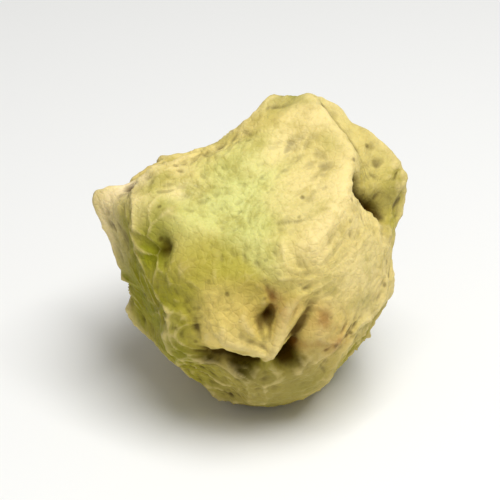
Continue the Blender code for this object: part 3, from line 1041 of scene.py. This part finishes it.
class PeppercornColours(bpy.types.PropertyGroup):
    """Colours of the skin and the floor."""
    straw: colour_property("Straw", "Dried skin between the patches", "#D2BC68")
    # Colour of the olive blotches all over, also laid on as partly painted shade on the front and the
    # lip.
    olive: colour_property("Olive", "Greener skin between the patches", "#AAA03C")
    pale: colour_property("Pale green", "Broad facet on top", "#DEDE92")
    green: colour_property("Green", "Darker green sides", "#82841A")
    cream: colour_property("Cream", "Worn crests and rims", "#EEDA9C")
    horn: colour_property("Horn", "Thin pinkish flange on the left", "#FCE6BC")
    # Yellow round the tip, partly painted light on its bumps.
    yellow: colour_property("Yellow", "Skin round the tip", "#F6DC88")
    belly: colour_property("Belly", "Greyer skin underneath", "#9C8F50")
    # Painted shade on the floors of the dents.
    dent_floor_shade: colour_property("Deep olive", "Floors of the dents", "#6E6812")
    # Painted shade round the pits and creases.
    pit_and_crease_shade: colour_property("Moss", "Skin round the pits and creases", "#3C3206")
    # Painted shade in the creases and fine hollows, and also the colour of the real specks.
    brown: colour_property("Brown", "Creases and pits", "#402C08")
    stain: colour_property("Stain", "Reddish brown spots", "#8C5422")
    scar: colour_property("Scar", "Torn tissue where the stalk was", "#5E4020")
    mottle_shade: colour_property("Mottle shade", "What the mottles take from the colour", "#CECBBC")
    grain_shade: colour_property("Grain shade", "What the grain takes from the colour", "#DAD7C8")
    floor: colour_property("Floor", "Card that the berry lies on", "#F0F0EE")


class PeppercornStage(bpy.types.PropertyGroup):
    """Camera and light."""
    elevation: bpy.props.FloatProperty(
        name="Elevation", description="How far the camera looks down",
        default=math.radians(32.0), subtype="ANGLE"
    )
    focal_length: bpy.props.FloatProperty(
        name="Focal length", description="Lens of the camera, in millimetres",
        default=150.0, unit="CAMERA"
    )
    filling: bpy.props.FloatProperty(
        name="Filling", description="Share of the picture's width that the berry takes",
        default=0.62, min=0.1, max=1.0, subtype="FACTOR"
    )
    key_power: bpy.props.FloatProperty(
        name="Key light", description="Power of the soft light overhead, in watts",
        default=0.042, precision=4, unit="POWER"
    )
    fill_power: bpy.props.FloatProperty(
        name="Fill light", description="Power of the soft light at the front, in watts",
        default=0.003, precision=4, unit="POWER"
    )
    sky: bpy.props.FloatProperty(
        name="Sky", description="Strength of the even light all round", default=0.27
    )


def put(name, data):
    """Puts data in the scene as an object at the origin, in place of an earlier one."""
    for old in [item for item in bpy.data.objects if item.name == name]:
        bpy.data.objects.remove(old, do_unlink=True)
    made = bpy.data.objects.new(name, data)
    bpy.context.scene.collection.objects.link(made)
    return made


def show(name, mesh, material):
    """Puts a mesh in the scene with its material."""
    mesh.name = name
    mesh.materials.append(material)
    return put(name, mesh)


class MakeSkin(bpy.types.Operator):
    """Make the berry's skin in place of its plain solid"""
    bl_idname = "peppercorn.make_skin"
    bl_label = "Make the skin"
    bl_options = {"REGISTER", "UNDO"}

    def execute(self, context):
        scene = context.scene
        mesh = skin_mesh(scene.peppercorn_sizes)
        skin = show("peppercorn_skin", mesh, skin_material(scene.peppercorn_colours))
        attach(skin, BODY)
        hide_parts(NODE)
        return {"FINISHED"}


def area_light(name, place, target, size, power):
    """Soft square light of one size that faces a target."""
    light = bpy.data.lights.new(name, "AREA")
    light.size = size
    light.energy = power
    made = put(name, light)
    made.location = place
    made.rotation_euler = (target - place).to_track_quat("-Z", "Y").to_euler()


class MakeStage(bpy.types.Operator):
    """Make the floor, the soft light and the camera"""
    bl_idname = "peppercorn.make_stage"
    bl_label = "Make the stage"
    bl_options = {"REGISTER", "UNDO"}

    def execute(self, context):
        scene = context.scene
        stage = scene.peppercorn_stage
        floor = show("floor", floor_mesh(FLOOR_RADIUS), floor_material(scene.peppercorn_colours))
        area_light("key_light", MIDDLE + KEY_PLACE, MIDDLE, KEY_SIZE, stage.key_power)
        area_light("fill_light", MIDDLE + FILL_PLACE, MIDDLE, FILL_SIZE, stage.fill_power)

        world = bpy.data.worlds.new("even_pale_light")
        world.use_nodes = True
        background = world.node_tree.nodes["Background"]
        background.inputs["Color"].default_value = linear("#FFFFFF")
        background.inputs["Strength"].default_value = stage.sky
        scene.world = world

        lens = bpy.data.cameras.new("camera")
        lens.lens = stage.focal_length
        lens.clip_start = MM
        lens.clip_end = FARTHEST
        # So far off, the berry takes its share of the picture's width.
        distance = (WIDTH / stage.filling) * stage.focal_length / lens.sensor_width
        back = Vector((0.0, -math.cos(stage.elevation), math.sin(stage.elevation)))
        camera = put("camera", lens)
        camera.location = MIDDLE + back * distance
        camera.rotation_euler = (-back).to_track_quat("-Z", "Y").to_euler()
        scene.camera = camera
        scene.view_settings.view_transform = "Standard"
        return {"FINISHED"}


class PeppercornPanel(bpy.types.Panel):
    """Sizes, colours and the steps that make the peppercorn"""
    bl_idname = "VIEW3D_PT_peppercorn"
    bl_label = "Dried Green Peppercorn"
    bl_space_type = "VIEW_3D"
    bl_region_type = "UI"
    bl_category = "Peppercorn"

    def draw(self, context):
        for group in GROUPS:
            box = self.layout.box()
            settings = getattr(context.scene, group)
            for name in settings.bl_rna.properties.keys():
                if name not in {"rna_type", "name"}:
                    box.prop(settings, name)
        for maker in MAKERS:
            self.layout.operator(maker.bl_idname)


MAKERS = (MakeSkin, MakeStage)
GROUPS = {
    "peppercorn_sizes": PeppercornSizes,
    "peppercorn_colours": PeppercornColours,
    "peppercorn_stage": PeppercornStage,
}
CLASSES = (*GROUPS.values(), *MAKERS, PeppercornPanel)


def register():
    """Adds the classes to Blender, and the three groups of settings to the scene."""
    for item in CLASSES:
        bpy.utils.register_class(item)
    for name, group in GROUPS.items():
        setattr(bpy.types.Scene, name, bpy.props.PointerProperty(type=group))


def unregister():
    """Takes them out again."""
    for name in GROUPS:
        delattr(bpy.types.Scene, name)
    for item in reversed(CLASSES):
        bpy.utils.unregister_class(item)


def main():
    """Makes every piece and the stage."""
    register()
    bpy.ops.peppercorn.make_skin()
    bpy.ops.peppercorn.make_stage()


if __name__ == "__main__":
    main()
